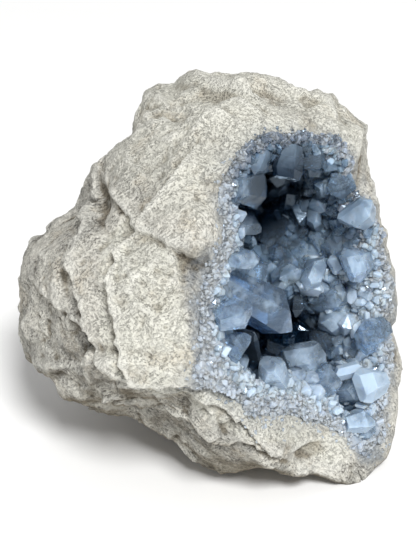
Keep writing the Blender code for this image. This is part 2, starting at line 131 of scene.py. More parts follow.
# Rough and calm parts of the skin, one wave apart. Low down it is rougher on the left and calm under
# the hollow, from this height down and this far to the left
CALMEST, ROUGHER, ROUGH_WAVE, ROUGH_CONTRAST = 0.6, 0.8, 28.0, 1.8
LOW_FROM, LOW_FADE, LOW_ROUGHER, LOW_CALMER = -30.0, 15.0, 0.9, 1.4
LOW_LEFT, LEFT_FADE = -15.0, 20.0
# Outlines of the fresher breaks, seen square to the corner: the slab and the stone under the hollow
FRESH_BREAKS = (
    ((-42, 14), (-42, -20), (-39, -30), (-36, -36), (-30, -39), (-22, -42), (-11, -41), (-8, -28), (-12, -8),
     (-12, 7), (-22, 15), (-32, 24), (-42, 14)),
    ((-10, -41), (-10, -47), (-1, -52), (12, -60), (30, -63), (47, -75), (58, -72), (58, -63), (47, -56),
     (30, -50), (12, -46), (0, -38), (-10, -41)),
)
FRESH_FADE, FRESH_FRONT = 5.0, 15.0
# The stone is paler towards the top too, from this height up
TOP_PALENESS, TOP_FROM, TOP_FADE = 0.8, 45.0, 20.0
# How deep the hollow is, and its border on the face
HOLLOW_DEPTH = 55.0
BORDER = np.array((
    (43, 5), (42, 14), (38, 25), (35, 36), (33, 47), (29, 54), (21, 59), (10, 62), (-2, 65), (-14, 65),
    (-24, 58), (-30, 51), (-29, 41), (-31, 33), (-37, 28), (-44, 22), (-48, 16), (-50, 10), (-52, -1),
    (-56, -7), (-55, -14), (-46, -21), (-38, -28), (-32, -37), (-19, -42), (-6, -48), (2, -56), (9, -64),
    (11, -73), (17, -79), (23, -75), (29, -66), (33, -58), (36, -48), (39, -36), (41, -26), (47, -16),
    (46, -4),
))
# The powers of the cosine and the sine that shape the wall's section
WALL_FULLNESS = 0.75
STEEP = 0.9
# Where the wall is gentler and where it flares out: turn and spread in degrees, and how much
GENTLE_PLACES = ((-75.0, 20.0, 1.3), (100.0, 25.0, 0.4))
FLARES = ((40.0, 45.0, 0.16), (180.0, 50.0, 0.10))
# The chipped rim's shape fades out over this share of the way down the wall
RIM_FADE = 0.25
# How finely the skin is drawn: columns around the hollow, closer together on its left, and rings from
# the far side to the border and down the wall
COLUMNS, SKIN_RINGS, WALL_RINGS = 456, 200, 9
LEFT_CROWDING = 0.32
RIM_CROWDING = 0.3
# How many rings around each spot its depth and its slope are judged by
SUNKEN_REACH, UNDERSIDE_REACH = 14, 6
FAR_FROM_BORDER = 150.0


def ramp(value):
    """Eases from 0 to 1 as the value goes from 0 to 1."""
    value = np.clip(value, 0.0, 1.0)
    return value * value * (3.0 - 2.0 * value)


def bell(value):
    """1 at zero, falling to nothing on both sides, as the exponential of minus the square."""
    return np.exp(-value * value)


def unit(vector):
    """Vectors brought to length 1."""
    return vector / np.linalg.norm(vector, axis=-1)[..., None]


DEGREES = np.radians(np.arange(360.0))


def reach_of(outline):
    """How far a closed outline reaches from its own zero, at each whole degree."""
    turn = np.arctan2(outline[:, 1], outline[:, 0])
    reach = np.hypot(outline[:, 0], outline[:, 1])
    order = np.argsort(turn)
    return np.interp(DEGREES, turn[order], reach[order], period=math.tau)


def read(reach, turn):
    """A closed outline's reach at any turns, in radians."""
    return np.interp(turn, DEGREES, reach, period=math.tau)


def slow_part(reach):
    """The outline with only its slowest waves around the circle kept."""
    waves = np.fft.rfft(reach)
    waves[SLOW_WAVES:] = 0.0
    return np.fft.irfft(waves, len(reach))


GIRTH_REACH = reach_of(GIRTH)
SLOW_GIRTH = SLOW_SHARE * slow_part(GIRTH_REACH)
BORDER_REACH = reach_of(BORDER)


def swollen_standoff(across, up):
    """The face's distance from the middle: a plane, eased outwards to the right, plus a bell for each
    low lobe."""
    standoff = FACE_STANDOFF + FACE_SWELL * ramp((across - SWELL_START) / SWELL_WIDTH)
    for (lobe_across, lobe_up), width, swell in LOW_LOBES:
        standoff = standoff + swell * bell(np.hypot(across - lobe_across, up - lobe_up) / width)
    return standoff


def nodule_radius(aim):
    """Reach along unit vectors: a super-ellipse through the girth, and the face's plane, whichever is
    nearer, with a soft minimum that rounds the rim."""
    right, up, out = aim @ CORNER_RIGHT, aim @ CORNER_UP, aim @ CORNER_OUT
    turn = np.arctan2(up, right)
    near_girth = bell(out / GIRTH_BLEND)
    girth = near_girth * read(GIRTH_REACH, turn) + (1.0 - near_girth) * read(SLOW_GIRTH, turn)
    depth = np.where(out > 0.0, FRONT_DEPTH, BACK_DEPTH)
    outward = (np.hypot(right, up) / girth) ** ROUNDNESS + (np.abs(out) / depth) ** ROUNDNESS
    body = outward ** (-1 / ROUNDNESS)
    facing = np.maximum(aim @ FACE_OUT, LEAST_FACING)
    across = FACE_STANDOFF * (aim @ FACE_ACROSS) / facing
    up = FACE_STANDOFF * (aim @ FACE_UP) / facing
    face = swollen_standoff(across, up) / facing
    return -RIM_ROUNDING * np.log(np.exp(-body / RIM_ROUNDING) + np.exp(-face / RIM_ROUNDING))


def lattice_slope(cell, seed):
    """A repeatable random slope for each cell of a lattice, mixed from its three whole numbers."""
    mixed = (cell @ np.array((374761393, 668265263, 1442695041)) + seed * 974634777) & 0xFFFFFFFF
    mixed = ((mixed ^ (mixed >> 13)) * 1274126177) & 0xFFFFFFFF
    mixed ^= mixed >> 16
    return np.stack([((mixed >> shift) & 1023) / 511.5 - 1.0 for shift in (0, 10, 20)], axis=-1)


def hills(point, wave, seed):
    """Smooth random hills one wave apart, about -0.5 to 0.5 high: at each lattice corner a random
    slope through zero, eased into its neighbours."""
    cell = np.floor(point / wave).astype(np.int64)
    within = point / wave - cell
    ease = within**3 * (within * (within * 6.0 - 15.0) + 10.0)
    total = np.zeros(len(point))
    for corner in itertools.product((0, 1), repeat=3):
        share = np.prod(np.where(np.array(corner) == 1, ease, 1.0 - ease), axis=1)
        total += share * ((within - corner) * lattice_slope(cell + corner, seed)).sum(axis=1)
    return total


def plates(point):
    """Fracture plates: near each random seed the skin is lifted and tilted as one flat piece."""
    dice = np.random.default_rng(PLATE_SEED)
    aim = unit(dice.normal(size=(PLATES, 3)))
    seeds = aim * nodule_radius(aim)[:, None]
    lift = dice.uniform(-PLATE_LIFT, PLATE_LIFT, PLATES)
    tilt = dice.normal(0.0, PLATE_TILT, (PLATES, 3))
    gap = np.linalg.norm(point[:, None] - seeds[None], axis=2)
    share = np.exp((gap.min(axis=1)[:, None] - gap) / PLATE_BLEND)
    height = lift + point @ tilt.T - (seeds * tilt).sum(axis=1)
    return (share * height).sum(axis=1) / share.sum(axis=1)


def beside(place, line):
    """Signed distance from places to a bent line in a plane, above zero on its left."""
    nearest = np.full(len(place), np.inf)
    signed = np.zeros(len(place))
    for start, end in zip(line[:-1], line[1:]):
        along = np.subtract(end, start)
        from_start = place - start
        part = np.clip(from_start @ along / (along @ along), 0.0, 1.0)
        away = from_start - part[:, None] * along
        gap = np.hypot(away[:, 0], away[:, 1])
        side = np.sign(along[0] * from_start[:, 1] - along[1] * from_start[:, 0])
        closer = gap < nearest
        nearest = np.where(closer, gap, nearest)
        signed = np.where(closer, gap * side, signed)
    return signed


def relief(point):
    """The skin's large relief: plates, two sizes of hills, a step across each ledge's ragged line and a
    bell sunk at each pit, all held back near the girth, whose outline is drawn."""
    place = np.stack((point @ CORNER_RIGHT, point @ CORNER_UP), axis=1)
    nearness = point @ CORNER_OUT
    height = plates(point)
    for seed, (wave, rise) in enumerate(SWELLS):
        height = height + rise * hills(point, wave, seed)
    shown = ramp((nearness - LEDGES_FROM) / FADE_IN)
    ragged = sum(rise * hills(point, wave, seed) for seed, (wave, rise) in enumerate(RAGGED, 20))
    for line, rise, lasts in LEDGES:
        gap = beside(place, line) + ragged
        height = height + shown * rise * (ramp(0.5 + gap / LEDGE_BLEND) - 0.5) * bell(gap / lasts)
    for spot, depth, (wide, high) in PITS:
        away = (place - spot) / (wide, high)
        sunk = depth * bell(np.hypot(away[:, 0], away[:, 1]))
        height = height - ramp((nearness - PITS_FROM) / FADE_IN) * sunk
    return height * (1.0 - OUTLINE_CALM * bell(nearness / CALM_WIDTH))


def chips(point, size, seed):
    """Broken chips, in shares of their size: space is cut into cells, each with a centre off its
    middle, and near a centre the height is that chip's own lift plus its own slope."""
    cell = np.floor(point / size).astype(np.int64)
    total, shares = np.zeros(len(point)), np.zeros(len(point))
    for step in itertools.product((-1, 0, 1), repeat=3):
        dice = lattice_slope(cell + step, seed)
        away = point / size - (cell + step + 0.5 + CHIP_STRAY * dice)
        share = np.exp(-CHIP_SHARPNESS * np.linalg.norm(away, axis=1))
        slope = lattice_slope(cell + step, seed + 1)
        total += share * (CHIP_LIFT * dice[:, 0] + CHIP_SLOPE * (away * slope).sum(axis=1))
        shares += share
    return total / shares


# The grain of the stone runs askew to the ground: three directions square to each other
GRAIN_AXES = np.linalg.qr(np.array(((3.0, 1.0, 2.0), (-1.0, 2.0, 3.0), (2.0, -3.0, 1.0))))[0]


def weathering(point):
    """The skin's fine relief, along the grain: chips of three sizes laid over each other, and crumbs as
    small hills, all rougher in some parts than in others: most low on the left, least under the hollow."""
    right_of_left = ramp((point @ CORNER_RIGHT - LOW_LEFT) / LEFT_FADE)
    low = ramp((LOW_FROM - point @ CORNER_UP) / LOW_FADE) * (LOW_ROUGHER - LOW_CALMER * right_of_left)
    point = point @ GRAIN_AXES
    bent = point + BEND * np.stack([hills(point, BEND_WAVE, seed) for seed in (40, 41, 42)], axis=1)
    (large_chip, large_rise), (middle_chip, middle_rise), (small_chip, small_rise) = CHIPS
    height = large_rise * chips(bent, large_chip, 50) + middle_rise * chips(bent, middle_chip, 60)
    height = height + small_rise * chips(point, small_chip, 70)
    (crumb, crumb_rise), (grain, grain_rise) = CRUMBS
    patch = ramp(0.5 + ROUGH_CONTRAST * hills(point, ROUGH_WAVE, 95))
    rough = (CALMEST + ROUGHER * patch) * (1.0 + low)
    return rough * (height + crumb_rise * hills(point, crumb, 90)) + grain_rise * hills(point, grain, 91)


def skin(aim):
    """Points of the nodule's surface along unit vectors, the broken face included."""
    radius = nodule_radius(aim)
    point = aim * radius[:, None]
    return aim * (radius + relief(point) + weathering(point))[:, None]


def face_point(across, up, sink):
    """Points by their place on the broken face and their depth behind it."""
    out = swollen_standoff(across, up) - sink
    return across[..., None] * FACE_ACROSS + up[..., None] * FACE_UP + out[..., None] * FACE_OUT


def bumps_around(turn, places):
    """Adds up bells centred on turns in degrees, around the full circle."""
    total = 0.0
    for centre, spread, height in places:
        away = (np.degrees(turn) - centre + 180.0) % 360.0 - 180.0
        total = total + height * bell(away / spread)
    return total


def bowl(turn, slide, reach, depth):
    """A bowl behind the face: as slide goes from 0 to 1 the distance from the axis falls as a power of
    a cosine from the outline to nothing, and the depth grows as a power of a sine."""
    sweep = slide * math.pi / 2.0
    away = read(reach, turn) * np.maximum(np.cos(sweep), 0.0) ** WALL_FULLNESS
    away = away * (1.0 + bumps_around(turn, FLARES) * np.sin(2.0 * sweep))
    sink = depth * np.sin(sweep) ** (STEEP + bumps_around(turn, GENTLE_PLACES))
    return face_point(away * np.cos(turn), away * np.sin(turn), sink)


def rim_shift(turn):
    """How far the real, chipped rim lies from the smooth border, at each turn."""
    edge = bowl(turn, np.zeros_like(turn), BORDER_REACH, HOLLOW_DEPTH)
    return skin(unit(edge)) - edge


def round_faces(rings, columns):
    """Faces of a closed surface: a pole, rings of points, and a pole."""
    row, column = np.meshgrid(np.arange(rings - 1), np.arange(columns), indexing="ij")
    here, beside_it = row * columns + column, row * columns + (column + 1) % columns
    quads = 1 + np.stack((here, beside_it, beside_it + columns, here + columns), axis=-1).reshape(-1, 4)
    column = np.arange(columns)
    later = (column + 1) % columns
    first = np.stack((np.zeros_like(column), 1 + later, 1 + column), axis=-1)
    base = 1 + (rings - 1) * columns
    last = np.stack((np.full_like(column, base + columns), base + column, base + later), axis=-1)
    return [*quads.tolist(), *first.tolist(), *last.tolist()]


def add_mesh(name, points, faces, smooth, **values):
    """A mesh object of points in millimetres from the middle, with a number of each kind at each point."""
    mesh = bpy.data.meshes.new(name)
    mesh.from_pydata(((points + MIDDLE) * METRES).tolist(), [], faces)
    mesh.polygons.foreach_set("use_smooth", [smooth] * len(mesh.polygons))
    for kind, amounts in values.items():
        mesh.attributes.new(kind, "FLOAT", "POINT").data.foreach_set("value", np.asarray(amounts, "f"))
    mesh.update()
    piece = bpy.data.objects.new(name, mesh)
    bpy.context.collection.objects.link(piece)
    return piece


def blurred(grid, reach):
    """A grid of numbers, round in its columns, evened out with its neighbours."""
    for _ in range(reach):
        grid = (np.roll(grid, 1, 1) + 2.0 * grid + np.roll(grid, -1, 1)) / 4.0
        grid = np.concatenate((grid[:1], (grid[:-2] + 2.0 * grid[1:-1] + grid[2:]) / 4.0, grid[-1:]))
    return grid


around = np.arange(COLUMNS) / COLUMNS
turns = math.tau * around + LEFT_CROWDING * np.sin(math.tau * around)
border = bowl(turns, np.zeros(COLUMNS), BORDER_REACH, HOLLOW_DEPTH)
border_tilt = np.arccos(unit(border) @ FACE_OUT)
share = np.arange(1, SKIN_RINGS + 1) / SKIN_RINGS
share = share * (1.0 + RIM_CROWDING * (1.0 - share))
tilt = math.pi + (border_tilt - math.pi) * share[:, None]
border_turn = np.arctan2(border @ FACE_UP, border @ FACE_ACROSS)
aims = (np.cos(tilt)[..., None] * FACE_OUT
        + (np.sin(tilt) * np.cos(border_turn))[..., None] * FACE_ACROSS
        + (np.sin(tilt) * np.sin(border_turn))[..., None] * FACE_UP).reshape(-1, 3)
skin_points = skin(aims)
slides = np.linspace(0.0, 1.0, WALL_RINGS + 2)[1:-1]
wall_shift = rim_shift(turns)
wall_points = np.concatenate([
    bowl(turns, np.full(COLUMNS, slide), BORDER_REACH, HOLLOW_DEPTH) + wall_shift * bell(slide / RIM_FADE)
    for slide in slides
])
deepest = bowl(np.zeros(1), np.ones(1), BORDER_REACH, HOLLOW_DEPTH)
# The foot: what would reach below the ground is worn down to it
rock_points = np.concatenate((skin(-FACE_OUT[None]), skin_points, wall_points, deepest))
rock_points[:, 2] = np.maximum(rock_points[:, 2], -MIDDLE[2])
# How sunken each spot is among its neighbours, and how far it is from the hollow's border
grid = skin_points.reshape(SKIN_RINGS, COLUMNS, 3)
height = (np.linalg.norm(skin_points, axis=1) - nodule_radius(aims)).reshape(SKIN_RINGS, COLUMNS)
sunken = blurred(height, SUNKEN_REACH) - height
from_border = np.linalg.norm(grid - (border + wall_shift), axis=2)
# Where old breaks are fresher and paler, and where the stone looks down, for earth and painted shade
corner_place = np.stack((skin_points @ CORNER_RIGHT, skin_points @ CORNER_UP), axis=1)
fresh = [ramp(0.5 + beside(corner_place, outline) / FRESH_FADE) for outline in FRESH_BREAKS]
fresh = np.maximum.reduce(fresh) * ramp(skin_points @ CORNER_OUT / FRESH_FRONT)
fresh = fresh + TOP_PALENESS * ramp((skin_points[:, 2] - TOP_FROM) / TOP_FADE)
down_the_rings, along_the_rings = np.gradient(grid, axis=0), np.roll(grid, -1, 1) - np.roll(grid, 1, 1)
facing = unit(np.cross(down_the_rings, along_the_rings))
facing = facing * np.sign((facing * grid).sum(axis=2))[..., None]
underside = blurred(-facing[..., 2], UNDERSIDE_REACH)
hidden = np.zeros(WALL_RINGS * COLUMNS + 1)
rock = add_mesh(
    "limestone_nodule", rock_points, round_faces(SKIN_RINGS + WALL_RINGS, COLUMNS), True,
    sunken=np.concatenate(((0.0,), sunken.ravel(), hidden)),
    fresh=np.concatenate(((0.0,), fresh, hidden)),
    underside=np.concatenate(((0.0,), underside.ravel(), hidden)),
    from_border=np.concatenate(((FAR_FROM_BORDER,), from_border.ravel(), hidden)),
)


class Shade:
    """One output socket of a material's nodes. Arithmetic on it adds Math nodes."""

    def __init__(self, tree, socket=None):
        self.tree, self.socket = tree, socket

    def node(self, kind, settings, sockets, out=0):
        """Adds a node: its settings first, then the value or link of each socket."""
        made = self.tree.nodes.new(kind)
        for name, value in settings.items():
            setattr(made, name, value)
        for key, value in sockets.items():
            if isinstance(value, Shade):
                self.tree.links.new(value.socket, made.inputs[key])
            else:
                made.inputs[key].default_value = value
        return Shade(self.tree, made.outputs[out])

    def math(self, operation, *values):
        """A Math node on numbers and sockets."""
        return self.node("ShaderNodeMath", {"operation": operation}, dict(enumerate(values)))

    def __add__(self, other):
        return self.math("ADD", self, other)

    def __sub__(self, other):
        return self.math("SUBTRACT", self, other)

    def __rsub__(self, other):
        return self.math("SUBTRACT", other, self)

    def __mul__(self, other):
        return self.math("MULTIPLY", self, other)

    __radd__, __rmul__ = __add__, __mul__

    def eased(self, low, high):
        """0 below low, 1 above high, and eased between."""
        return self.node("ShaderNodeMapRange", {"interpolation_type": "SMOOTHSTEP"},
                         {"Value": self, "From Min": low, "From Max": high})

    def mixed(self, first, second, blend="MIX"):
        """The first colour where this is 0, and the second, or its blend with the first, where it is 1."""
        return self.node("ShaderNodeMix", {"data_type": "RGBA", "blend_type": blend},
                         {0: self, 6: first, 7: second}, out=2)

    def noise(self, place, wave, detail, roughness, curl=0.0):
        """Random cloudiness around a half, with one wave in millimetres, more finer waves the higher the
        detail, stronger ones the higher the roughness, and swirls the higher the curl."""
        return self.node("ShaderNodeTexNoise", {}, {
            "Vector": place, "Scale": 1.0 / (wave * METRES), "Detail": detail, "Roughness": roughness,
            "Distortion": curl,
        })

    def read(self, kind):
        """The number of this kind that the mesh carries at each point."""
        return self.node("ShaderNodeAttribute", {"attribute_name": kind}, {}, out="Fac")

    def place(self, stretch=(1.0, 1.0, 1.0), turn=(0.0, 0.0, 0.0)):
        """Object coordinates, turned and then stretched."""
        plain = self.node("ShaderNodeTexCoord", {}, {}, out="Object")
        turned = self.node("ShaderNodeMapping", {}, {"Vector": plain, "Rotation": turn})
        return self.node("ShaderNodeMapping", {}, {"Vector": turned, "Scale": stretch})


def new_material(name):
    """A material, and its tree as a Shade, empty but for the output that is still to be fed."""
    material = bpy.data.materials.new(name)
    material.use_nodes = True
    for node in list(material.node_tree.nodes):
        if node.type != "OUTPUT_MATERIAL":
            material.node_tree.nodes.remove(node)
    return material, Shade(material.node_tree)


def set_surface(shade, shader, socket="Surface"):
    """Feeds a shader to the material's output, as its surface or its volume."""
    output = next(node for node in shade.tree.nodes if node.type == "OUTPUT_MATERIAL")
    shade.tree.links.new(shader.socket, output.inputs[socket])


# Cream where it is fresh, duller where it is weathered, with ash-grey patches, tan stains, dark scratches
# and earth, with painted shade in hollows and underneath and painted highlight on raised spots
FRESH_STONE = (0.76, 0.75, 0.665, 1.0)
WEATHERED_STONE = (0.69, 0.67, 0.60, 1.0)
ASH = (0.27, 0.265, 0.245, 1.0)
SCRATCH = (0.10, 0.095, 0.085, 1.0)
PALE_GRAIN_AND_HIGHLIGHT = (0.86, 0.85, 0.78, 1.0)
EARTH_AND_SHADE = (0.36, 0.32, 0.26, 1.0)
TAN = (0.50, 0.42, 0.30, 1.0)
BLUE_GREY = (0.28, 0.31, 0.34, 1.0)
ROCK_BUMP = 0.0009

limestone, shade = new_material("limestone")
place = shade.place(turn=(0.5, 0.9, 0.3))
mottle = shade.noise(place, 8.0, 3.0, 0.6)
fresh = (shade.read("fresh") + (mottle - 0.5) * 0.7).eased(0.1, 0.9)
body = fresh.mixed(WEATHERED_STONE, FRESH_STONE)
patches = shade.noise(place, 26.0, 5.0, 0.6).eased(0.45, 0.60) * (1.0 - 0.7 * fresh)
body = (0.6 * patches).mixed(body, ASH)
body = (0.4 * mottle.eased(0.48, 0.66) * (1.0 - 0.6 * fresh)).mixed(body, ASH)
body = (0.35 * shade.noise(place, 14.0, 3.0, 0.6).eased(0.52, 0.68)).mixed(body, TAN)
# Short dark scratches in a tangle, combed in one direction here and another there
combed = shade.place(stretch=(1.0, 1.0, 0.42), turn=(0.5, 0.6, 0.2))
crossed = shade.place(stretch=(0.45, 1.0, 1.0), turn=(0.4, 0.7, 0.9))
one_way = shade.noise(combed, 0.85, 2.0, 0.65, 0.1).eased(0.52, 0.60)
other_way = shade.noise(crossed, 0.95, 2.0, 0.65, 0.1).eased(0.52, 0.60)
turning = shade.noise(place, 6.0, 2.0, 0.5).eased(0.42, 0.58)
scratches = one_way * (0.3 + 0.7 * turning) + other_way * (1.0 - 0.7 * turning)
# More of them where the stone is worn, and pale grains between them
worn = shade.noise(place, 9.0, 3.0, 0.6).eased(0.38, 0.62)
grain = shade.noise(place, 0.9, 2.0, 0.8)
body = (scratches * (0.2 + 0.5 * worn) * (1.0 - 0.3 * fresh)).mixed(body, SCRATCH)
body = (0.45 * (1.0 - grain).eased(0.52, 0.62)).mixed(body, PALE_GRAIN_AND_HIGHLIGHT)
# Sunken places get painted shade with some earth, and raised ones painted highlight with some wear
sunken = shade.read("sunken")
body = (0.85 * sunken.eased(0.1, 0.9) * (1.0 - 0.4 * fresh)).mixed(body, EARTH_AND_SHADE, "MULTIPLY")
body = (0.5 * (0.0 - sunken).eased(0.1, 0.8)).mixed(body, PALE_GRAIN_AND_HIGHLIGHT)
# Painted shade with some earth on the underside, and beside the hollow the stone is blue-grey
underside = shade.read("underside") + (mottle - 0.5) * 0.8
body = (underside.eased(0.0, 0.8) * (1.0 - 0.8 * fresh)).mixed(body, EARTH_AND_SHADE, "MULTIPLY")
border_haze = 1.0 - shade.read("from_border") * 0.09 + (shade.noise(place, 5.0, 3.0, 0.6) - 0.5) * 1.8
body = (0.7 * border_haze.eased(0.1, 1.0) * (1.0 - 0.7 * fresh)).mixed(body, BLUE_GREY)
bump_height = grain * 0.6 - scratches * 0.7 + shade.noise(place, 2.6, 5.0, 0.75) * 1.6
bump = shade.node("ShaderNodeBump", {}, {"Strength": 1.0, "Distance": ROCK_BUMP, "Height": bump_height})
set_surface(shade, shade.node("ShaderNodeBsdfPrincipled", {}, {
    "Base Color": body, "Roughness": 0.92, "Normal": bump, "Specular IOR Level": 0.25,
}))
rock.data.materials.append(limestone)
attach(rock, "root")
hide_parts("matrix_rock")


# The crust of celestite
# Solutions left celestite on the hollow's wall as one crust, thin and sugary at the border and grown
# up in mounds inside. It is milky where it is fine-grained, and clearer and bluer towards the depths.

# The mouth, where the crust turns from the face down into the hollow
MOUTH = np.array((
    (35, 2), (34, 17), (31, 32), (30, 42), (25, 49), (13, 52), (0, 55), (-9, 56), (-16, 51), (-20, 44),
    (-21, 37), (-24, 27), (-31, 21), (-38, 13), (-39, 1), (-38, -7), (-34, -16), (-27, -23), (-13, -28),
    (-2, -41), (7, -45), (12, -58), (18, -68), (22, -56), (27, -46), (32, -35), (34, -23), (38, -12),
))
CRUST_THICKNESS = 8.0
# Mounds of the crust: across, up and depth from the face, then width and height
MOUNDS = (
    ((36.0, -8.0, 29.0), 15.0, 18.0),
    ((26.0, 0.0, 40.0), 12.0, 10.0),
    ((-28.0, 12.0, 14.0), 10.0, 6.0),
    ((0.0, -34.0, 12.0), 9.0, 5.0),
    ((20.0, -44.0, 10.0), 8.0, 5.0),
)
MOUTH_REACH = reach_of(MOUTH)
# The mouth's edge is dropped behind the face, and the drop and the face's chips fade out along the
# slide, which is -1 at the border, 0 at the mouth and 1 at the deepest point
MOUTH_DROP = 3.0
BAND_DROP_FADE, WALL_DROP_FADE, CHIPS_FADE = 0.45, 0.07, 0.12
# The crown on the band, its knobs and its grains, and how the crust sinks under the rock outside, all
# laid out on a ring of this radius and of this width for one slide
RING_RADIUS, RING_WIDTH = 45.0, 9.0
CROWN, CROWN_FULLNESS = 0.8, 0.6
KNOBS, KNOB_WAVE, GRAINS, GRAIN_SIZE = 5.0, 8.0, 3.0, 4.5
SINK, SINK_FROM, SINK_FADE = 3.5, 0.7, 0.9
LOBES = ((9.0, 2.2), (3.5, 1.2))
# The lumps of its grains, as size and rise, how much lower they are on the band, and its folds
LUMPS = ((5.0, 1.5), (2.4, 0.8))
BAND_CALM = 0.7
FOLD_WAVE, FOLDS = 7.0, 0.8
# The crust's back lies a millimetre inside the rock, and its edge runs out past the border
BED_MARGIN, BED_SINK, BED_START = 1.0, 2.0, 0.08
OUTER_SLIDE = -1.6
CRUST_COLUMNS, BAND_RINGS, LINING_RINGS, BED_RINGS = 380, 30, 84, 7


def face_spot(place):
    """One point by its place across and up the broken face and its depth behind it."""
    return face_point(*(np.array(float(value)) for value in place))


HOLLOW_HEART = face_spot((0.0, 0.0, 12.0))
BEFORE_HOLLOW = HOLLOW_HEART + 20.0 * FACE_OUT


def lining(turn, slide):
    """The crust's inner surface: a bowl from the mouth, raised towards the hollow's heart by a bell at
    each mound."""
    point = bowl(turn, slide, MOUTH_REACH, HOLLOW_DEPTH - CRUST_THICKNESS)
    inward = unit(HOLLOW_HEART - point)
    rise = 0.0
    for place, width, height in MOUNDS:
        rise = rise + height * bell(np.linalg.norm(point - face_spot(place), axis=-1) / width)
    return point + inward * np.asarray(rise)[..., None]


def crust_surface(turn, slide):
    """From the border, slide -1, over the band to the mouth, slide 0, and down the lining to the
    deepest point, slide 1. The band carries on the rock's chipped face, past the border too, and the
    mouth's edge is dropped and rounded."""
    band = np.clip(-slide, 0.0, 2.0)
    reach = read(MOUTH_REACH, turn) * (1.0 - band) + read(BORDER_REACH, turn) * band
    edge = face_point(reach * np.cos(turn), reach * np.sin(turn), np.zeros_like(reach))
    on_band = skin(unit(edge).reshape(-1, 3)).reshape(edge.shape)
    drop = MOUTH_DROP * bell(slide / np.where(slide < 0.0, BAND_DROP_FADE, WALL_DROP_FADE))
    kept = bell(np.maximum(slide, 0.0) / CHIPS_FADE)[..., None]
    inside = lining(turn, np.clip(slide, 0.0, 1.0)) + (on_band - edge) * kept
    return np.where((slide < 0.0)[..., None], on_band, inside) - drop[..., None] * FACE_OUT


def rise_on_rock(turn, slide):
    """How far the crust stands over the rock: a knobbly crown on the band, sinking under the rock's skin
    outside the border, with ragged lobes."""
    spot = np.stack((RING_RADIUS * np.cos(turn), RING_RADIUS * np.sin(turn), RING_WIDTH * slide), axis=-1)
    spot = spot.reshape(-1, 3)
    ragged = sum(rise * hills(spot, wave, seed) for seed, (wave, rise) in enumerate(LOBES, 140))
    knobs = KNOBS * np.abs(hills(spot, KNOB_WAVE, 142)) + GRAINS * chips(spot, GRAIN_SIZE, 143)
    ragged, knobs = ragged.reshape(turn.shape), knobs.reshape(turn.shape)
    crown = (CROWN + knobs) * np.sin(math.pi * np.clip(-slide, 0.0, 1.0)) ** CROWN_FULLNESS
    sunk = SINK * ramp((-slide - SINK_FROM) / SINK_FADE)
    return np.where(slide < 0.0, crown - sunk + ragged * ramp(-slide), 0.0)


# The deep pockets, where the celestite is clear and painted dark as shade: across, up and depth, then width
POCKETS = (
    ((20.0, 30.0, 36.0), 18.0),
    ((-4.0, 42.0, 16.0), 20.0),
    ((9.0, -32.0, 34.0), 21.0),
    ((13.0, -22.0, 26.0), 13.0),
    ((-18.0, -18.0, 14.0), 13.0),
    ((7.0, 44.0, 4.0), 13.0),
    ((18.0, -62.0, 10.0), 6.0),
)
# Deep down everything is painted darker as shade, from this depth
DARK_FROM, DARK_FADE = 34.0, 14.0
# It is milky on the ridge, and near the face, most of all low down and on the left
RIDGE, RIDGE_WIDTH, RIDGE_HAZE = (30.0, 0.0, 22.0), 16.0, 0.6
HAZE_DEPTH, HAZE_FADE, LEAST_HAZE = 26.0, 18.0, 0.35
HAZE_TOP, HAZE_RISE, HAZE_RIGHT, HAZE_SPREAD = 30.0, 60.0, -5.0, 15.0


def depth_of(point):
    """How deep points lie behind the broken face."""
    return swollen_standoff(point @ FACE_ACROSS, point @ FACE_UP) - point @ FACE_OUT


def gloom(point):
    """How much painted shade darkens the celestite, from 0 to 1: a bell around each deep pocket, and the
    greatest depths.
    """
    dark = ramp((depth_of(point) - DARK_FROM) / DARK_FADE)
    for place, width in POCKETS:
        dark = np.maximum(dark, bell(np.linalg.norm(point - face_spot(place), axis=-1) / width))
    return dark


def haze(point):
    """How milky the celestite is, from 0 to 1: near the face, most of all low down and on the left, and
    on the ridge."""
    low = ramp((HAZE_TOP - point @ FACE_UP) / HAZE_RISE)
    left = ramp((HAZE_RIGHT - point @ FACE_ACROSS) / HAZE_SPREAD)
    near = LEAST_HAZE + (1.0 - LEAST_HAZE) * np.maximum(low, left)
    near = near * ramp((HAZE_DEPTH - depth_of(point)) / HAZE_FADE)
    ridge = RIDGE_HAZE * bell(np.linalg.norm(point - face_spot(RIDGE), axis=-1) / RIDGE_WIDTH)
    return np.maximum(near, ridge) * (1.0 - gloom(point))


def lumpy(turn, slide):
    """The crust's surface with the lumps of its grains, lower on the band, and its crown over the rock."""
    point = crust_surface(turn, slide)
    flat = point.reshape(-1, 3)
    (large_lump, large_rise), (small_lump, small_rise) = LUMPS
    lump = large_rise * chips(flat, large_lump, 110) + small_rise * chips(flat, small_lump, 120)
    lump = lump - FOLDS * np.abs(hills(flat, FOLD_WAVE, 130))
    inward = unit(BEFORE_HOLLOW - flat)
    lump = lump * (1.0 - BAND_CALM * ramp(-slide.ravel()))
    point = (flat + inward * lump[:, None]).reshape(point.shape)
    return point + rise_on_rock(turn, slide)[..., None] * unit(point)


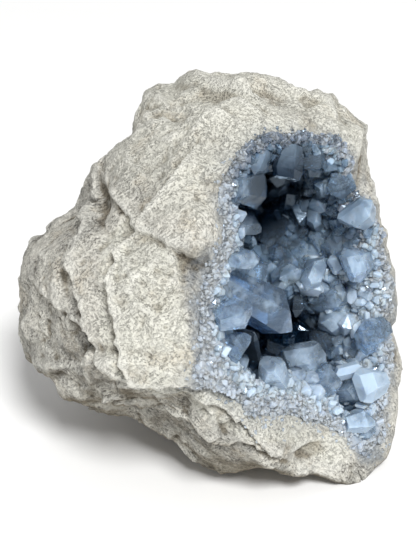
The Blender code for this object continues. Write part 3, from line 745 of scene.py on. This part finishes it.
crust_turns = np.arange(CRUST_COLUMNS) * math.tau / CRUST_COLUMNS
crust_shift = rim_shift(crust_turns) - BED_SINK * FACE_OUT
bed_reach, bed_depth = BORDER_REACH + BED_MARGIN, HOLLOW_DEPTH + BED_MARGIN
bed_rings = []
for slide in np.linspace(1.0, BED_START, BED_RINGS + 1)[1:]:
    bed_ring = bowl(crust_turns, np.full(CRUST_COLUMNS, slide), bed_reach, bed_depth)
    bed_rings.append(bed_ring + crust_shift * bell(slide / RIM_FADE))
band_slides = np.linspace(OUTER_SLIDE, 0.0, BAND_RINGS, endpoint=False)
top_slides = np.concatenate((band_slides, np.linspace(0.0, 1.0, LINING_RINGS + 2)[:-1]))
turn_grid, slide_grid = np.meshgrid(crust_turns, top_slides)
crust_points = np.concatenate((
    bowl(np.zeros(1), np.ones(1), bed_reach, bed_depth),
    *bed_rings,
    lumpy(turn_grid, slide_grid).reshape(-1, 3),
    lining(np.zeros(1), np.ones(1)),
))
crust = add_mesh(
    "celestite_crust_base", crust_points, round_faces(BED_RINGS + len(top_slides), CRUST_COLUMNS), True,
    inside=np.concatenate((np.full(1 + BED_RINGS * CRUST_COLUMNS, 1.0), slide_grid.ravel(), (1.0,))),
    gloom=gloom(crust_points),
)

# Frosty at the border, pale blue inside, and painted near black in the pockets as shade. What light gets in
# comes out bluish, and so do reflections
FROST = (0.42, 0.45, 0.49, 1.0)
PALE_BLUE = (0.20, 0.29, 0.39, 1.0)
DEEP_SHADE_BLUE = (0.004, 0.015, 0.036, 1.0)
GLOW = (1.0, 1.1, 1.3)
GLOW_DEPTH = 0.0025
SHEEN = (0.65, 0.82, 1.0, 1.0)
REFRACTION = 1.62

milky, shade = new_material("milky_celestite")
place = shade.place()
inside = shade.read("inside") + (shade.noise(place, 9.0, 3.0, 0.6) - 0.5) * 0.5
clouds = shade.noise(place, 3.0, 3.0, 0.65)
body = inside.eased(-0.9, 0.05).mixed(FROST, PALE_BLUE)
body = (0.45 * clouds.eased(0.5, 0.62)).mixed(body, FROST)
grain = shade.noise(place, 0.9, 2.0, 0.6)
body = (0.3 * grain.eased(0.55, 0.66)).mixed(body, ASH)
# Painted shade: near black in the deep pockets
dark = shade.read("gloom").eased(0.05, 0.7)
body = dark.mixed(body, DEEP_SHADE_BLUE)
bump = shade.node("ShaderNodeBump", {}, {"Strength": 0.6, "Distance": 0.0005, "Height": grain})
set_surface(shade, shade.node("ShaderNodeBsdfPrincipled", {}, {
    "Base Color": body, "Roughness": 0.4 - dark * 0.25, "Normal": bump, "IOR": REFRACTION,
    "Subsurface Weight": 0.8, "Subsurface Radius": GLOW, "Subsurface Scale": GLOW_DEPTH,
    "Specular Tint": SHEEN,
}))
crust.data.materials.append(milky)
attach(crust, "root")
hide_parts("celestite_crust")


# The large crystals
# Blunt prisms of celestite, ended by chisels, drawn with sharp edges though the real ones are a little
# rounded by late growth. They are clear to milky, pale blue-grey, and grown together where they cross.

# Which way a crystal's six sides face, in degrees, and which two of them are the flat ones
SIDE_TURNS = np.array((38.0, 90.0, 142.0, 218.0, 270.0, 322.0))
FLAT_SIDES = np.array((False, True, False, False, True, False))
# Its breadth at the root as a share of the body's, and how deep the root is in the crust
ROOT_SHARE = 0.65
ROOT_SINK = 3.0
# How unlike its sides are, how far they lie in at the end, and its chisel: a share of the breadth, kept
# between two shares of the length
SIDE_SPREAD, END_SPREAD = (0.85, 1.15), (0.65, 0.95)
CHISEL, CHISEL_LIMITS = 0.35, (0.15, 0.5)
# Where the crystals that are not placed by hand may stand, how far apart, and how broad they are
CRYSTAL_SEED = 5
NET_COLUMNS, NET_ROWS, NET_END = 120, 48, 0.97
SPACING, CLEARANCE = 15.0, 0.6
NARROWEST, BROADEST = 8.5, 12.5
# How they lean, how long they are as a share of their breadth, and how flat and how blunt
LEAN, LENGTHS, FLATNESS, BLUNTNESS = 0.35, (0.6, 1.1), (0.6, 1.1), (0.15, 0.5)
# A pocket without large crystals: the ends of its middle line, as across, up and depth from the
# face, and its half-width
BARE_POCKET = ((0.0, -30.0, 8.0), (18.0, -31.0, 38.0))
BARE_WIDTH = 12.0
# Root and tip as across, up and depth from the face, then breadth, flatness, twist and bluntness
LARGE_CRYSTALS = (
    ((-34, 20, 12), (-2, -9, 7), 18, 0.75, 20, 0.2),
    ((-20, 14, 12), (-5, 9, 10), 8, 0.7, 60, 0.2),
    ((-17, -34, 13), (-21, -7, 9), 7, 0.5, 10, 0.05),
    ((4, -50, 12), (6, -25, 11), 15, 0.9, 40, 0.35),
    ((-16, -46, 9), (-14, -30, 9), 14, 1.0, 70, 0.5),
    ((-24, -36, 10), (-18, -29, 10), 9, 0.9, 10, 0.4),
    ((30, 42, 30), (17, 33, 26), 11, 0.8, 30, 0.4),
    ((36, 49, 12), (31, 38, 13), 14, 0.5, 80, 0.3),
    ((45, 27, 30), (30, 21, 22), 10, 0.9, 15, 0.3),
    ((50, 3, 18), (34, 7, 10), 15, 0.9, 50, 0.4),
    ((47, -23, 25), (23, -9, 16), 14, 0.8, 25, 0.3),
    ((46, -34, 25), (24, -18, 14), 12, 0.9, 65, 0.4),
    ((41, 3, 42), (24, 2, 24), 13, 0.9, 35, 0.3),
    ((44, -10, 36), (32, -1, 22), 12, 0.8, 5, 0.3),
    ((31, -19, 42), (16, -5, 26), 13, 0.9, 45, 0.4),
    ((42, -43, 18), (28, -31, 9), 10, 0.9, 20, 0.6),
    ((25, -56, 12), (18, -45, 8), 13, 0.9, 55, 0.6),
    ((21, -75, 9), (19, -62, 6), 10, 0.9, 30, 0.5),
    ((-18, 32, 8), (-7, 31, 8), 8, 0.8, 40, 0.4),
    ((-11, 54, 8), (-3, 51, 8), 7, 0.8, 10, 0.3),
    ((-36, 11, 9), (-28, 13, 6), 9, 0.8, 60, 0.3),
    ((-40, 0, 9), (-32, 1, 7), 9, 0.8, 30, 0.4),
    ((27, 19, 45), (20, 15, 30), 14, 0.9, 15, 0.3),
    ((50, 22, 16), (39, 27, 9), 10, 0.9, 70, 0.4),
    ((52, -10, 14), (41, -2, 6), 10, 0.8, 35, 0.3),
    ((50, -22, 14), (38, -14, 7), 11, 0.9, 5, 0.4),
    ((44, -47, 12), (32, -37, 5), 9, 0.8, 50, 0.3),
)
# The milk of the first six, and two crystals low on the right that are milky all through
FIRST_MILK = (0.15, 0.5, 0.0, 0.6, 0.7, 0.9)
MILKIEST = [38, 78]
MILK_SEED = 21


def square_off(surface, turn, slide):
    """Points of a surface, and the direction that stands square off it: towards the hollow's heart on
    the lining, and away from the nodule's middle on the band."""
    nudge = 0.01  # in radians, and in slide
    point = surface(turn, slide)
    around = surface(turn + nudge, slide) - point
    inward = surface(turn, slide + nudge) - point
    square = unit(np.cross(around, inward))
    towards = np.where((slide < 0.0)[..., None], point, HOLLOW_HEART - point)
    return point, square * np.sign((square * towards).sum(axis=-1))[..., None]


def crystal_points(root, tip, breadth, flatness, twist, bluntness, dice):
    """Corners of crystals as (crystal, station, side): at each station every side lies at its own
    distance from the axis, and the corners are where neighbouring sides meet."""
    count = len(root)
    axis = unit(tip - root)
    across = unit(np.cross(axis, np.where(np.abs(axis[:, 2:]) < 0.8, (0.0, 0.0, 1.0), (1.0, 0.0, 0.0))))
    beyond = np.cross(axis, across)
    length = np.linalg.norm(tip - root, axis=1)
    body = np.where(FLAT_SIDES, flatness[:, None], 1.0) * dice.uniform(*SIDE_SPREAD, (count, 6))
    end = np.where(FLAT_SIDES, bluntness[:, None], body * dice.uniform(*END_SPREAD, (count, 6)))
    shoulder = 1.0 - np.clip(CHISEL * breadth / length, *CHISEL_LIMITS)
    sides = 0.5 * breadth[:, None, None] * np.stack((ROOT_SHARE * body, body, end), axis=1)
    along = length[:, None] * np.stack((np.zeros(count), shoulder, np.ones(count)), axis=1)
    turn = np.radians(SIDE_TURNS) + np.radians(twist)[:, None]
    later_turn, later = np.roll(turn, -1, axis=1), np.roll(sides, -1, axis=2)
    spread = np.sin(later_turn - turn)[:, None]
    x = (sides * np.sin(later_turn)[:, None] - later * np.sin(turn)[:, None]) / spread
    y = (later * np.cos(turn)[:, None] - sides * np.cos(later_turn)[:, None]) / spread
    return (root[:, None, None] + along[..., None, None] * axis[:, None, None]
            + x[..., None] * across[:, None, None] + y[..., None] * beyond[:, None, None])


def off_pocket(point):
    """How far a point is from the middle line of the bare pocket."""
    start, end = (face_spot(place) for place in BARE_POCKET)
    share = np.clip((point - start) @ (end - start) / ((end - start) @ (end - start)), 0.0, 1.0)
    return np.linalg.norm(point - start - share * (end - start))


def plan_crystals():
    """The largest crystals as listed, then smaller ones a spacing apart wherever the lining is bare."""
    dice = np.random.default_rng(CRYSTAL_SEED)
    net_turns = np.arange(NET_COLUMNS) * math.tau / NET_COLUMNS
    turn, slide = np.meshgrid(net_turns, np.linspace(0.0, NET_END, NET_ROWS))
    spots, square = (part.reshape(-1, 3) for part in square_off(lining, turn, slide))
    roots, tips, forms = [], [], []
    for root, tip, *form in LARGE_CRYSTALS:
        root, tip = face_spot(root), face_spot(tip)
        nearest = np.linalg.norm(spots - root, axis=1).argmin()
        roots.append(spots[nearest] - ROOT_SINK * square[nearest])
        tips.append(tip)
        forms.append(form)
    taken = [(root, form[0]) for root, form in zip(roots, forms)]
    for index in dice.permutation(len(spots)):
        breadth = dice.uniform(NARROWEST, BROADEST)
        spot = spots[index]
        if any(np.linalg.norm(spot - other) < 0.5 * (SPACING + CLEARANCE * wide) for other, wide in taken):
            continue
        lean = unit(square[index] + dice.normal(0.0, LEAN, 3))
        tip = spot + lean * breadth * dice.uniform(*LENGTHS)
        if min(off_pocket(spot), off_pocket(tip)) < BARE_WIDTH:
            continue
        taken.append((spot, breadth))
        roots.append(spot - ROOT_SINK * lean)
        tips.append(tip)
        forms.append((breadth, dice.uniform(*FLATNESS), dice.uniform(0.0, 180.0), dice.uniform(*BLUNTNESS)))
    breadth, flatness, twist, bluntness = np.array(forms, float).T
    return crystal_points(np.array(roots), np.array(tips), breadth, flatness, twist, bluntness, dice)


def add_crystals(name, corners, milkiness):
    """One mesh of many crystals, each with sides between its stations and a flat face at either end.
    Each has its own share of milk."""
    count, stations, sides = corners.shape[:3]
    row, column = np.meshgrid(np.arange(stations - 1), np.arange(sides), indexing="ij")
    here, beside_it = row * sides + column, row * sides + (column + 1) % sides
    first = stations * sides * np.arange(count)[:, None, None]
    quads = first + np.stack((here, beside_it, beside_it + sides, here + sides), axis=-1).reshape(-1, 4)
    ends = first + np.stack((np.arange(sides)[::-1], np.arange(sides) + (stations - 1) * sides))
    faces = [*quads.reshape(-1, 4).tolist(), *ends.reshape(-1, sides).tolist()]
    points = corners.reshape(-1, 3)
    milk = np.repeat(milkiness, stations * sides)
    return add_mesh(name, points, faces, False, gloom=gloom(points), haze=haze(points), milk=milk)


dice = np.random.default_rng(MILK_SEED)
large = plan_crystals()
milkiness = dice.uniform(0.0, 1.0, len(large))
milkiness[:len(FIRST_MILK)] = FIRST_MILK
milkiness[MILKIEST] = 1.0
large_crystals = add_crystals("large_crystals", large, milkiness)

# Clear celestite, its milk deeper in and near the face, and the painted shade that darkens the pockets.
# Light that has come some way through a crystal is left blue
CLEAR_BLUE = (0.60, 0.76, 0.92, 1.0)
MILK_BLUE = (0.14, 0.25, 0.38, 1.0)
MIST_BLUE = (0.42, 0.53, 0.65, 1.0)
HAZE_BLUE = (0.48, 0.58, 0.70, 1.0)
CLEAR_SHADE_BLUE = (0.02, 0.05, 0.10, 1.0)
THROUGH_BLUE = (0.45, 0.66, 0.86, 1.0)
ABSORPTION = 60.0


def celestite(name, clouding, roughness, milky, hazy):
    """Celestite: clear blue, with milky clouds and veils that glow, more of them and a duller face in
    some crystals and near the face, painted darker in the pockets as shade, and faint steps on its faces."""
    material, shade = new_material(name)
    place = shade.place()
    milk, misty, dark = shade.read("milk"), shade.read("haze"), shade.read("gloom").eased(0.05, 0.7)
    clouds = shade.noise(place, 9.0, 3.0, 0.55) + (milk - 0.5) * 0.4
    veils = shade.noise(shade.place(stretch=(1.0, 0.3, 1.0), turn=(0.5, 0.3, 0.9)), 2.4, 3.0, 0.7)
    steps = shade.noise(place, 3.0, 2.0, 0.5) + shade.noise(place, 0.8, 1.0, 0.5) * 0.15
    bump = shade.node("ShaderNodeBump", {}, {"Strength": 0.25, "Distance": 0.0005, "Height": steps})
    dullness = (milk * 0.7 + shade.noise(place, 5.0, 2.0, 0.5) * 0.6).eased(0.5, 1.0)
    dullness = roughness + 0.45 * dullness * (1.0 - dark)
    clear = shade.node("ShaderNodeBsdfPrincipled", {}, {
        "Base Color": dark.mixed(CLEAR_BLUE, CLEAR_SHADE_BLUE), "Roughness": dullness, "Normal": bump,
        "Transmission Weight": 0.9, "IOR": REFRACTION, "Specular Tint": SHEEN,
    })
    body = (misty + (clouds - 0.5) * 1.2).eased(0.0, 1.0).mixed(milky, hazy)
    body = (0.4 * veils.eased(0.54, 0.66)).mixed(body, FROST)
    cloudy = shade.node("ShaderNodeBsdfPrincipled", {}, {
        "Base Color": dark.mixed(body, DEEP_SHADE_BLUE), "Roughness": dullness, "Normal": bump,
        "Subsurface Weight": 0.9, "Subsurface Radius": GLOW, "Subsurface Scale": GLOW_DEPTH,
        "IOR": REFRACTION, "Specular Tint": SHEEN,
    })
    share = (clouds + veils * 0.4 + misty * 0.3 + (clouding - 0.95)).eased(-0.1, 0.5)
    set_surface(shade, shade.node("ShaderNodeMixShader", {}, {0: share, 1: clear, 2: cloudy}))
    set_surface(shade, shade.node("ShaderNodeVolumeAbsorption", {}, {
        "Color": THROUGH_BLUE, "Density": ABSORPTION,
    }), "Volume")
    return material


clear = celestite("clear_celestite", clouding=0.16, roughness=0.1, milky=MILK_BLUE, hazy=MIST_BLUE)
large_crystals.data.materials.append(clear)
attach(large_crystals, "root")


# The smaller crystals between the large ones
# Shorter prisms that filled the room left on the crust, thick on its mounds and down into the depths.

# No crystal's spot is further under the rock's skin than this, and roots go down by this share of the
# breadth. Each stands somewhere across its cell, they differ in breadth by these shares, and their ends
# are sharper than those of the large ones
LOWEST_SPOT, ROOT_DEPTH = -0.6, 0.5
CELL_SPREAD, BREADTH_SPREAD, SHARP_ENDS = (-0.1, 1.1), (0.55, 1.45), (0.02, 0.35)


def scatter(dice, rows, columns, slides, breadths, lengths, lean_by):
    """Crystals, one to each cell of a net over the crust, each off its cell's middle: their breadths go
    from the first to the last as the slide does, and their lengths are a share of the breadth."""
    (first_slide, last_slide), (narrow, broad), (shortest, longest) = slides, breadths, lengths
    row, column = np.meshgrid(np.arange(rows), np.arange(columns), indexing="ij")
    share = (row + dice.uniform(0.0, 1.0, row.shape)) / rows
    turn = math.tau * (column + dice.uniform(*CELL_SPREAD, row.shape)) / columns
    slide = first_slide + (last_slide - first_slide) * share
    spot, square = square_off(crust_surface, turn.ravel(), slide.ravel())
    rise = np.maximum(rise_on_rock(turn.ravel(), slide.ravel()), LOWEST_SPOT)
    spot = spot + rise[:, None] * unit(spot)
    share = share.ravel()
    breadth = (narrow + (broad - narrow) * share) * dice.uniform(*BREADTH_SPREAD, share.shape)
    lean = unit(square + dice.normal(0.0, lean_by, spot.shape))
    root = spot - ROOT_DEPTH * breadth[:, None] * lean
    tip = spot + lean * (breadth * dice.uniform(shortest, longest, share.shape))[:, None]
    flatness = dice.uniform(*FLATNESS, share.shape)
    twist = dice.uniform(0.0, 180.0, share.shape)
    bluntness = dice.uniform(*SHARP_ENDS, share.shape)
    return crystal_points(root, tip, breadth, flatness, twist, bluntness, dice), slide.ravel()


middle, _ = scatter(
    dice, 12, 60, slides=(0.03, 0.88), breadths=(5.5, 8.0), lengths=(0.3, 1.1), lean_by=0.4,
)
middle_crystals = add_crystals("middle_crystals", middle, dice.uniform(0.0, 1.0, len(middle)))
cloudy = celestite("cloudy_celestite", clouding=0.3, roughness=0.05, milky=MILK_BLUE, hazy=HAZE_BLUE)
middle_crystals.data.materials.append(cloudy)
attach(middle_crystals, "root")

small, _ = scatter(
    dice, 20, 120, slides=(-0.3, 0.8), breadths=(2.4, 4.2), lengths=(0.2, 1.2), lean_by=0.45,
)
small_crystals = add_crystals("small_crystals", small, dice.uniform(0.2, 1.0, len(small)))
fine = celestite("fine_celestite", clouding=0.35, roughness=0.08, milky=MILK_BLUE, hazy=HAZE_BLUE)
small_crystals.data.materials.append(fine)
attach(small_crystals, "root")


# The sugary rim
# Fine crystals packed along the border, frosty white to grey-blue, which get sparse out on the rock.

# The share of them far out on the rock, how much more of them there are inwards, and over what slide
SPARSE, DENSER, DENSE_BY = 0.1, 0.45, 0.8
SMOKE = (0.19, 0.22, 0.28, 1.0)
SNOW = (0.43, 0.48, 0.55, 1.0)
sugar, sugar_slide = scatter(
    dice, 18, 420, slides=(OUTER_SLIDE, 0.02), breadths=(1.0, 3.2), lengths=(-0.1, 0.5), lean_by=0.4,
)
density = SPARSE + DENSER * ramp((sugar_slide - OUTER_SLIDE) / DENSE_BY)
sugar = sugar[dice.uniform(0.0, 1.0, len(sugar)) < density]
sugar_crystals = add_crystals("sugary_rim", sugar, dice.uniform(0.0, 1.0, len(sugar)))
sugary = celestite("sugary_celestite", clouding=0.5, roughness=0.12, milky=SMOKE, hazy=SNOW)
sugar_crystals.data.materials.append(sugary)
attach(sugar_crystals, "root")


# The floor, the light and the camera
# A pale, plain studio floor, one large soft light high on the left, and an even light from all around.

FLOOR_REACH = 3.0  # metres
PAPER = (0.92, 0.92, 0.915, 1.0)
PALE_PAPER = (0.94, 0.94, 0.935, 1.0)
floor_corners = [(FLOOR_REACH * x, FLOOR_REACH * y, 0.0) for x, y in ((-1, -1), (1, -1), (1, 1), (-1, 1))]
floor_mesh = bpy.data.meshes.new("floor")
floor_mesh.from_pydata(floor_corners, [], [(0, 1, 2, 3)])
floor = bpy.data.objects.new("floor", floor_mesh)
bpy.context.collection.objects.link(floor)
paper, shade = new_material("pale_paper")
tone = shade.noise(shade.place(), 300.0, 1.0, 0.5).mixed(PAPER, PALE_PAPER)
set_surface(shade, shade.node("ShaderNodeBsdfPrincipled", {}, {"Base Color": tone, "Roughness": 0.9}))
floor_mesh.materials.append(paper)

# The even light, and the large one: watts, millimetres across, and where it hangs
EVEN_LIGHT = 0.45
LIGHT_POWER, LIGHT_SIZE, LIGHT_DISTANCE = 260.0, 1400.0, 5000.0
LIGHT_HEADING = heading(-30.0, 50.0)
# The camera looks at the front left corner, a little left of and over the nodule's middle
CAMERA_DISTANCE = 600.0
AIM_RIGHT, AIM_UP = -3.2, 1.4
FRAME_HEIGHT = 222.0  # of the nodule's middle plane, as high as the picture
SENSOR_HEIGHT = 36.0

scene = bpy.context.scene
scene.view_settings.view_transform = "Standard"
scene.world = bpy.data.worlds.new("studio")
scene.world.use_nodes = True
sky = scene.world.node_tree.nodes["Background"]
sky.inputs["Color"].default_value = (1.0, 1.0, 1.0, 1.0)
sky.inputs["Strength"].default_value = EVEN_LIGHT


def point_at(thing, place, target):
    """Puts a light or camera at a place, level and looking at the target."""
    back = unit(place - target)
    side = unit(np.cross((0.0, 0.0, 1.0), back))
    over = np.cross(back, side)
    turned = np.stack((side, over, back, place * METRES), axis=1)
    thing.matrix_world = Matrix((*turned, (0.0, 0.0, 0.0, 1.0)))


light = bpy.data.lights.new("main_light", "AREA")
light.shape = "DISK"
light.size = LIGHT_SIZE * METRES
light.energy = LIGHT_POWER
light_thing = bpy.data.objects.new("main_light", light)
bpy.context.collection.objects.link(light_thing)
point_at(light_thing, MIDDLE + LIGHT_DISTANCE * LIGHT_HEADING, MIDDLE)

camera = bpy.data.cameras.new("camera")
camera.sensor_fit = "VERTICAL"
camera.sensor_height = SENSOR_HEIGHT
camera.lens = SENSOR_HEIGHT * CAMERA_DISTANCE / FRAME_HEIGHT
camera_thing = bpy.data.objects.new("camera", camera)
bpy.context.collection.objects.link(camera_thing)
aim_at = MIDDLE + AIM_RIGHT * CORNER_RIGHT + AIM_UP * CORNER_UP
point_at(camera_thing, aim_at + CAMERA_DISTANCE * CORNER_OUT, aim_at)
scene.camera = camera_thing
